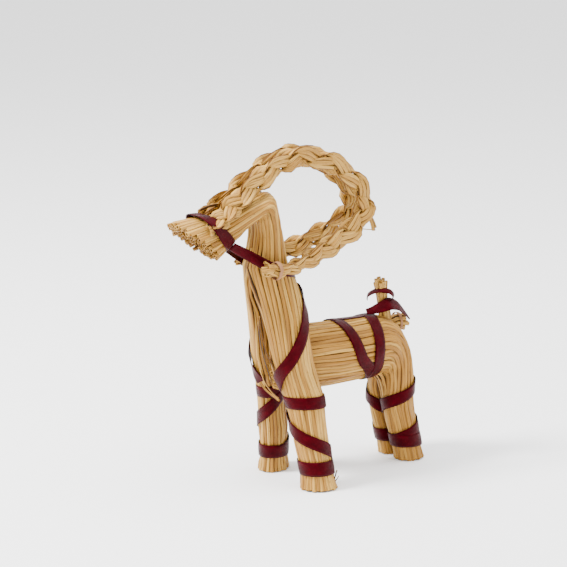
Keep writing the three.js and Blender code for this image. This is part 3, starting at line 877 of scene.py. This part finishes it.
# The first point is under the muzzle ribbon.
HORN_POINTS = [
    (11.6, -75, 207.5), (12.2, -65.5, 211), (11, -56.5, 217.5), (8, -41, 226.5),
    (6.3, -22.5, 238.5), (5.8, -3, 248.2), (5.8, 19, 250), (6.2, 45, 240.6), (7.2, 63.5, 224),
    (8.8, 69.5, 206.5), (10.8, 57.5, 193.5), (13, 38.5, 184.5), (16, 20.5, 178),
    (19.8, 3.5, 174), (23.6, -10.5, 172),
]
HORN_TIED = {"left": (25.5, -24, 172.2), "right": (25, -17, 172.4)}
LOOSE_END = {"left": (1, -14, 3), "right": (0.5, -12, 0)}
HORN_MIDDLE = np.array([0, 8, 208.0])
HORN_LEAN = [0.8, 0.8, 0.6, 0.3, 0.1]  # how far its flat side leans out, then 0
PLAIT_RINGS = 96
PLAIT_PERIODS = 4.7  # times that a strand swings to and fro along a horn
PLAIT_SWING = 5.5  # how far a strand swings from the middle
PLAIT_WEAVE = 2.3  # how far it passes over and under
ZIGZAG = 0.93  # 0 swings a strand smoothly, 1 in straight zigzags
FOLD_OVER = 2.2  # how quickly a strand folds over at an edge of the plait
# Places of the straws in a strand, across it and out of it, and their half widths.
STRAND_STRAWS = [(-3.1, 0.75, 1.7), (0.0, 0.95, 1.8), (3.0, 0.75, 1.65), (-2.6, -0.75, 1.8),
                 (0.6, -0.95, 1.75), (3.3, -0.7, 1.6)]


class Plait:
    """The centre line and axes of one horn, on the left side."""

    def __init__(self, side):
        tied = np.array(HORN_TIED[side], float)
        self.path = through([*HORN_POINTS, tied, tied + LOOSE_END[side]])
        self.last = len(HORN_POINTS) + 1
        upright = self.last + 1 - len(HORN_LEAN)
        self.lean = through([(v,) for v in HORN_LEAN + [0.0] * upright])

    def axes(self, u):
        """The centre at u, and the ways out from the middle of the loop and across the plait."""
        centre = self.path(u)
        forward = unit(self.path(u + 0.1) - self.path(u - 0.1))
        away = centre - HORN_MIDDLE
        away[:, 0] = 0
        away = unit(away)
        away[:, 0] = -self.lean(u)[:, 0]
        away = square(away, forward)
        return centre, away, np.cross(away, forward)

    def spread(self, u):
        """How wide the plait is at u, as a share of its full width."""
        end = 1 - 0.62 * smooth(u, 11, 14.6)
        return (0.92 + 0.08 * smooth(u, 1, 6)) * end + 0.4 * smooth(u, 15, 16)

    def strand(self, number, u):
        """Where a strand runs, the way its flat side lies, the way it faces and how near it
        is to an edge of the plait."""
        phase = 2 * math.pi * (number / 3 + u * PLAIT_PERIODS / self.last)
        centre, away, sideways = self.axes(u)
        sine = np.sin(phase)
        zigzag = np.arcsin(ZIGZAG * sine) / math.asin(ZIGZAG)
        swing = (PLAIT_SWING * self.spread(u) * zigzag)[:, None]
        weave = (PLAIT_WEAVE * np.sin(2 * phase) * smooth(u, -0.4, 1.4))[:, None]
        line = centre + away * swing + sideways * weave
        ahead = unit(np.gradient(line, axis=0))
        # A strand keeps one face outward across the plait, and folds over at each edge.
        turned = np.tanh(FOLD_OVER * np.cos(phase)) / math.tanh(FOLD_OVER)
        fold = math.pi / 2 * (1 - turned)
        face = sideways * np.cos(fold)[:, None] - away * np.sin(fold)[:, None]
        face = square(face, ahead)
        return line, np.cross(ahead, face), face, np.abs(sine)


def plait_straws(side, sign, rng):
    """Three strands of flattened straws, each of which strays a little in its strand."""
    plait = Plait(side)
    straws = []
    for number in range(3):
        for across, out_of, half_wide in STRAND_STRAWS:
            u = np.linspace(0, plait.last - rng.uniform(0, 0.7), PLAIT_RINGS)
            line, flat, face, edge = plait.strand(number, u)
            under_ribbon = smooth(u, 0, 1.3)
            narrow = (0.55 + 0.45 * np.minimum(plait.spread(u), 1))
            pinch = (1 - 0.35 * edge**6) * (0.4 + 0.6 * under_ribbon)
            spread = 1 + 0.25 * (1 - under_ribbon)
            offset = across * narrow * np.maximum(pinch, 0.65) * spread
            line = line + flat * offset[:, None] + face * (out_of * pinch)[:, None]
            line = line + flat * wave(rng, u, 0.3, 1.6)[:, None]
            line = line + face * wave(rng, u, 0.22, 1.2)[:, None]
            wide = half_wide * narrow * (1 + wave(rng, u, 0.09, 0.9))
            loose = smooth(u, plait.last - 1.1, plait.last - 0.5)
            thick = 0.85 * rng.uniform(0.85, 1.15) * (1 + wave(rng, u, 0.12, 0.7))
            thick = thick * (1 + 0.5 * loose) * (1 - 0.25 * edge**8)
            out = face + flat * wave(rng, u, 0.18, 1.2)[:, None]
            tone = np.clip(rng.normal(0.42, 0.27), 0, 1)
            straws.append(straw_along(on_side(sign, line), on_side(sign, out), wide, thick, rng,
                                      tone=tone, both_faces=True, edge=1.35))
    return straws


# Ends that stand out of the left plait: at the turn, by the muzzle, and a fine wisp.
HORN_STUBS = [
    ([(8.5, 70, 206), (9.5, 75.5, 197), (10.5, 78, 190.5)], 1.9),
    ([(10.5, 69, 205), (12, 73.5, 196), (12, 75.5, 189)], 1.7),
    ([(6.5, 71, 204), (7.5, 76, 196), (8, 79, 192)], 1.5),
    ([(10, 58, 193), (10.5, 69, 190.5), (10, 79, 189)], 0.4),
    ([(3.5, -60, 222), (5.5, -70, 221.5), (6.5, -79, 219.5)], 1.5),
]


class GOAT_OT_horns(bpy.types.Operator):
    """Two three-strand plaits of flattened straw"""

    bl_idname = "goat.horns"
    bl_label = "Plaited horns"

    def execute(self, context):
        for side, sign, seed in (("left", 1, 41), ("right", -1, 43)):
            rng = np.random.default_rng(seed)
            straws = plait_straws(side, sign, rng)
            if sign > 0:
                straws += [loose_straw(*stub, rng, thin=0.5) for stub in HORN_STUBS]
            straw_piece(straws, side + "_horn_plait", "plait", "plaited_straw", side + "_horn")
        return {"FINISHED"}


# ---------------------------------------------------------------- ribbon


RIBBON_COLUMNS = 6
RIBBON_CURL = 0.25  # how far the edges of a ribbon curl towards the straw
WELD = 0.00001
RING_STEPS = 48


def ribbon(name, points, normals, width=None, closed=False, wrinkle=0.18, seed=1):
    """A satin ribbon along points in millimetres, its inner face on them.

    It starts as a flat grid whose columns run along it, and the grid is laid on the points."""
    look = bpy.context.scene.goat_ribbon
    points, normals = np.asarray(points, float), unit(np.asarray(normals, float))
    width = np.broadcast_to(look.width / MM if width is None else width, len(points))
    rng = np.random.default_rng(seed)
    if closed:
        points, normals = np.vstack([points, points[:1]]), np.vstack([normals, normals[:1]])
        width = np.append(width, width[0])
    count = len(points)
    forward = np.gradient(points, axis=0)
    if closed:
        forward[0] = forward[-1] = points[1] - points[-2]
    forward = unit(forward)
    out = square(normals, forward)
    side = np.cross(forward, out)
    run = run_along(points)
    deselect()
    bpy.ops.mesh.primitive_grid_add(
        x_subdivisions=RIBBON_COLUMNS, y_subdivisions=count - 1, size=2)
    strip = bpy.context.object
    strip.name = strip.data.name = name
    mesh = strip.data
    co = vertex_places(mesh)
    across = co[:, 0]
    row = np.rint((co[:, 1] + 1) / 2 * (count - 1)).astype(int)
    if closed:
        phases = [2 * math.pi * f * run / run[-1] for f in (3, 7)]
    else:
        phases = [run / 3.1, run / 1.7]
    ripple = sum(np.sin(phase + rng.uniform(0, 6.28)) for phase in phases) / 2
    bulge = -RIBBON_CURL * across**2 + wrinkle * ripple[row] * (0.5 + 0.5 * across)
    laid = (points[row] + side[row] * (across * width[row] / 2)[:, None]
            + out[row] * bulge[:, None])
    mesh.vertices.foreach_set("co", into_row(laid).ravel())
    uv = mesh.uv_layers[0]
    uv.name = "weave"
    loops = np.empty(len(mesh.loops), int)
    mesh.loops.foreach_get("vertex_index", loops)
    place = np.stack([(across[loops] + 1) / 2, run[row[loops]]], axis=1)
    uv.data.foreach_set("uv", place.ravel())
    mesh.update()
    if closed:
        whole_mesh(bpy.ops.mesh.remove_doubles, threshold=WELD)
    if np.dot(mesh.polygons[0].normal, out[row[loops[0]]]) < 0:
        whole_mesh(bpy.ops.mesh.flip_normals)
    thick = strip.modifiers.new("cloth", "SOLIDIFY")
    thick.thickness = look.thickness
    thick.offset = 1.0
    bpy.ops.object.modifier_apply(modifier=thick.name)
    bpy.ops.object.shade_smooth()
    mesh.materials.append(finish("ribbon"))
    return strip


def route(bundle, stops, steps, lift=None):
    """Points and normals through several stops of (station, angle) over a bundle's surface,
    or of (station, angle, lift)."""
    curve = through([stop if len(stop) == 3 else (*stop, lift) for stop in stops])
    places = curve(np.linspace(0, len(stops) - 1, steps))
    return bundle.above(places[:, 0], places[:, 1], places[:, 2])


def ring(bundle, u, lift):
    """A closed turn round a bundle at a station."""
    return bundle.above(u, np.linspace(0, 360, RING_STEPS, endpoint=False), lift)


def both_sides(points, normals):
    """The same run on the right side, then the left, as one run over the middle plane."""
    return tuple(np.vstack([on_side(-1, run)[::-1], run[1:]]) for run in (points, normals))


def mirrored_strip(strip):
    """A copy on the other side with its faces turned to point out."""
    copy = strip.copy()
    copy.data = strip.data.copy()
    copy.name = copy.data.name = "right_" + strip.name
    bpy.context.collection.objects.link(copy)
    co = on_side(-1, vertex_places(copy.data))
    copy.data.vertices.foreach_set("co", co.ravel())
    select([copy])
    whole_mesh(bpy.ops.mesh.flip_normals)
    return copy


def ribbon_piece(strips, name, node):
    """Ribbon strips as one piece."""
    dressed(joined(strips, name), "ribbon", node)


def leg_ribbons(leg, strips):
    """The strips of a left leg as one piece, and their mirror image on the right leg."""
    right = [mirrored_strip(strip) for strip in strips]
    ribbon_piece(strips, f"left_{leg}_satin", f"left_{leg}_ribbon")
    ribbon_piece(right, f"right_{leg}_satin", f"right_{leg}_ribbon")


class GOAT_OT_leg_ribbons(bpy.types.Operator):
    """Ribbon wound round each leg, with a band at the foot"""

    bl_idname = "goat.leg_ribbons"
    bl_label = "Leg ribbons"

    def execute(self, context):
        fore = [(15.2, -190), (15.5, -150), (16.45, -60), (17.1, 30), (17.6, 120), (17.95, 230)]
        hind = [(9.9, 170), (10, 110), (10.2, 55), (11.5, -140), (12.3, -300), (12.95, -420)]
        leg_ribbons("foreleg", [
            ribbon("top_band", *ring(FRONT, 15.1, 0.6), closed=True, seed=3),
            ribbon("spiral", *route(FRONT, fore, 70, 0.9), seed=4),
            ribbon("foot_band", *ring(FRONT, 17.95, 1.1), closed=True, width=11, seed=5),
        ])
        leg_ribbons("hindleg", [
            ribbon("hind_spiral", *route(BODY, hind, 90, 0.8), seed=6),
            ribbon("hind_foot_band", *ring(BODY, 12.95, 1.0), closed=True, width=11, seed=7),
        ])
        return {"FINISHED"}


class GOAT_OT_front_ribbons(bpy.types.Operator):
    """Ribbon round the muzzle and neck, and from the neck to where the forelegs part"""

    bl_idname = "goat.front_ribbons"
    bl_label = "Bridle and chest ribbons"

    def execute(self, context):
        stops = [(2, -90, 0.6), (1.85, -45, 0.6), (1.6, 0, 1.6), (1.45, 35, 4),
                 (1.4, 65, 3.4), (1.45, 90, 1.6)]
        muzzle = ribbon("muzzle_band", *both_sides(*route(FRONT, stops, 36)), seed=8)
        start, start_out = FRONT.above(2, -58, 0.9)
        wrap, wrap_out = route(FRONT, [(9.85, -30), (10.2, 30), (10.5, 90)], 20, 0.7)
        t = np.linspace(0, 1, 14)[:-1, None]
        between = start + (wrap[0] - start) * t
        between_out = unit(start_out * (1 - t) + wrap_out[0] * t)
        points, normals = np.vstack([between, wrap]), np.vstack([between_out, wrap_out])
        strap = both_sides(points[::-1], normals[::-1])
        strap = ribbon("bridle_strap", *strap, width=8, seed=9)
        ribbon_piece([muzzle, strap], "bridle_satin", "bridle_ribbon")
        stops = [(10.95, 90), (11.5, 70), (12.25, 35), (12.8, 0), (13.4, -40), (14.1, -75),
                 (14.4, -92)]
        chest = ribbon("chest", *both_sides(*route(FRONT, stops, 60, 0.6)), seed=10)
        ribbon_piece([chest], "chest_satin", "chest_ribbon")
        return {"FINISHED"}


class GOAT_OT_body_ribbons(bpy.types.Operator):
    """Ribbon round the trunk and the tail"""

    bl_idname = "goat.body_ribbons"
    bl_label = "Girth and tail ribbons"

    def execute(self, context):
        fore = [(3.95, 90), (4, 60), (4.3, 0), (4.75, -25), (5.15, -50), (5.35, -75), (5.4, -90)]
        aft = [(5.6, 90), (5.4, 55), (5.25, 0), (5.3, -28), (5.35, -60)]
        strips = [
            ribbon("fore_strip", *both_sides(*route(BODY, fore, 50, 0.6)), seed=12),
            ribbon("aft_strip", *both_sides(*route(BODY, aft, 40, 0.9)), seed=13),
            ribbon("spine_strip", *route(BODY, [(3.8, 90), (5.6, 90)], 24, 0.7), width=6, seed=14),
        ]
        ribbon_piece(strips, "girth_satin", "girth_ribbon")
        loop = through([(-7, 84.5, 130.5), (-5.5, 84.5, 134), (-0.5, 86.5, 137.5), (4.8, 89.5, 139),
                        (8.2, 95, 138), (8.6, 98.5, 134), (6.5, 98, 130), (5, 94, 127.5)])
        places = loop(np.linspace(0, 7, 44))
        out = unit(places - np.array([0, 93.5, 132.0]))
        loop = ribbon("tail_loop", places, out, width=4.6, seed=15, wrinkle=0.3)
        tongue = through([(1.5, 77.5, 122.8, 5), (3.6, 81, 123.8, 6), (5.6, 85, 125, 8),
                          (8, 89.5, 127, 9.5), (9.6, 95, 128.5, 11), (9.8, 101, 126.5, 9),
                          (9.5, 108, 120.5, 5), (9, 115, 113.5, 1.2)])
        places = tongue(np.linspace(0, 7, 50))
        out = np.broadcast_to(unit(np.array([0.75, 0.1, 0.65])), (50, 3))
        flap = ribbon("tail_tongue", places[:, :3], out, width=places[:, 3], seed=16, wrinkle=0.5)
        ribbon_piece([loop, flap], "tail_satin", "tail_ribbon")
        return {"FINISHED"}


# ---------------------------------------------------------------- raffia


def raffia_turns(centre, forward, half_wide, half_high, width, turns, rng):
    """Raffia wound a few turns round something oval, as flat straws of one long strand."""
    centre = np.array(centre, float)
    along = unit(np.array(forward, float))
    high = unit(np.array([0, 0, 1.0]) - along * along[2])
    wide = np.cross(high, along)
    angle = np.linspace(0, 2 * math.pi * turns, 22 * turns)
    drift = np.interp(angle, [0, angle[-1]], [-width / 2, width / 2]) + wave(rng, angle, 0.15, 3.0)
    cos, sin = np.cos(angle), np.sin(angle)
    line = (centre + wide * (half_wide * cos)[:, None] + high * (half_high * sin)[:, None]
            + along * drift[:, None])
    out = wide * (cos / half_wide)[:, None] + high * (sin / half_high)[:, None]
    return straw_along(line, out, 0.95, 0.35, rng, bore=0.4, sides=6)


class GOAT_OT_raffia(bpy.types.Operator):
    """Raffia that ties the horns to the neck, and the stub behind the tail"""

    bl_idname = "goat.raffia"
    bl_label = "Raffia ties"

    def execute(self, context):
        rng = np.random.default_rng(53)
        last = np.array(HORN_POINTS[-1], float)
        for side, sign in (("left", 1), ("right", -1)):
            tied = np.array(HORN_TIED[side], float)
            tie = raffia_turns(on_side(sign, tied), on_side(sign, tied - last), 5.6, 6.6, 2.4,
                               3, rng)
            straw_piece([tie], side + "_horn_raffia", "raffia", "raffia", side + "_horn_tie")
        tie = raffia_turns((0.6, 109, 111), (0.1, 1, 0), 7.0, 7.0, 1.6, 2, rng)
        straw_piece([tie], "tail_raffia", "raffia", "raffia", "tail_tie")
        return {"FINISHED"}


# ---------------------------------------------------------------- stage


LAMPS = (("key", (-0.35, -1.2, 1.7), 0.45, 110.0), ("top", (0.4, 0.3, 1.9), 1.2, 30.0))
LAMP_TARGET = (0, 0, 0.12)
CAMERA_TARGET = (0, -MID_LENGTH * MM, 0.155)
CAMERA_DISTANCE = 1.35
CAMERA_LENS = 114.3


def aim(thing, target):
    """Turn a light or camera so that it looks at the target."""
    way = Vector(target) - thing.location
    thing.rotation_euler = way.to_track_quat("-Z", "Y").to_euler()


class GOAT_OT_stage(bpy.types.Operator):
    """Pale floor, soft light and camera"""

    bl_idname = "goat.stage"
    bl_label = "Stage"

    def execute(self, context):
        look = context.scene.goat_stage
        deselect()
        bpy.ops.mesh.primitive_plane_add(size=look.floor_size, location=(0, 0, 0))
        floor = context.object
        floor.name = "floor"
        pale = Shader("pale_floor").finished({"Base Color": (0.92, 0.92, 0.92), "Roughness": 0.7})
        floor.data.materials.append(pale)
        world = bpy.data.worlds.new("studio")
        world.use_nodes = True
        sky = world.node_tree.nodes["Background"].inputs
        sky["Color"].default_value = (1, 1, 1, 1)
        sky["Strength"].default_value = look.light
        context.scene.world = world
        for name, place, size, power in LAMPS:
            lamp = bpy.data.lights.new(name, "AREA")
            lamp.size = size
            lamp.energy = power
            light = bpy.data.objects.new(name, lamp)
            context.collection.objects.link(light)
            light.location = place
            aim(light, LAMP_TARGET)
        camera = bpy.data.objects.new("camera", bpy.data.cameras.new("camera"))
        context.collection.objects.link(camera)
        camera.data.sensor_width = 36
        camera.data.lens = CAMERA_LENS
        away = np.array([math.sin(look.turn) * math.cos(look.tilt),
                         -math.cos(look.turn) * math.cos(look.tilt), math.sin(look.tilt)])
        camera.location = CAMERA_TARGET + CAMERA_DISTANCE * away
        aim(camera, CAMERA_TARGET)
        camera.data.clip_end = 100
        context.scene.camera = camera
        return {"FINISHED"}


class GOAT_PT_panel(bpy.types.Panel):
    """Sidebar panel with the goat's pieces"""

    bl_label = "Straw goat"
    bl_idname = "GOAT_PT_panel"
    bl_space_type = "VIEW_3D"
    bl_region_type = "UI"
    bl_category = "Straw goat"

    def draw(self, context):
        for name in SETTINGS:
            settings = getattr(context.scene, name)
            box = self.layout.box()
            for prop in settings.bl_rna.properties:
                if not prop.is_readonly and prop.identifier != "name":
                    box.prop(settings, prop.identifier)
        for operator in OPERATORS:
            self.layout.operator(operator.bl_idname)


OPERATORS = (
    GOAT_OT_stage, GOAT_OT_front_bundle, GOAT_OT_body_bundle, GOAT_OT_tail, GOAT_OT_horns,
    GOAT_OT_leg_ribbons, GOAT_OT_front_ribbons, GOAT_OT_body_ribbons, GOAT_OT_raffia,
)
SETTINGS = {"goat_straw": GoatStrawSettings, "goat_ribbon": GoatRibbonSettings,
            "goat_stage": GoatStageSettings}
CLASSES = (*SETTINGS.values(), *OPERATORS, GOAT_PT_panel)


def register():
    for cls in CLASSES:
        bpy.utils.register_class(cls)
    for name, settings in SETTINGS.items():
        setattr(bpy.types.Scene, name, bpy.props.PointerProperty(type=settings))


def unregister():
    for name in SETTINGS:
        delattr(bpy.types.Scene, name)
    for cls in reversed(CLASSES):
        bpy.utils.unregister_class(cls)


def main():
    register()
    bpy.ops.goat.stage()
    bpy.ops.goat.front_bundle()
    bpy.ops.goat.body_bundle()
    bpy.ops.goat.tail()
    bpy.ops.goat.horns()
    bpy.ops.goat.leg_ribbons()
    bpy.ops.goat.front_ribbons()
    bpy.ops.goat.body_ribbons()
    bpy.ops.goat.raffia()


if __name__ == "__main__":
    main()
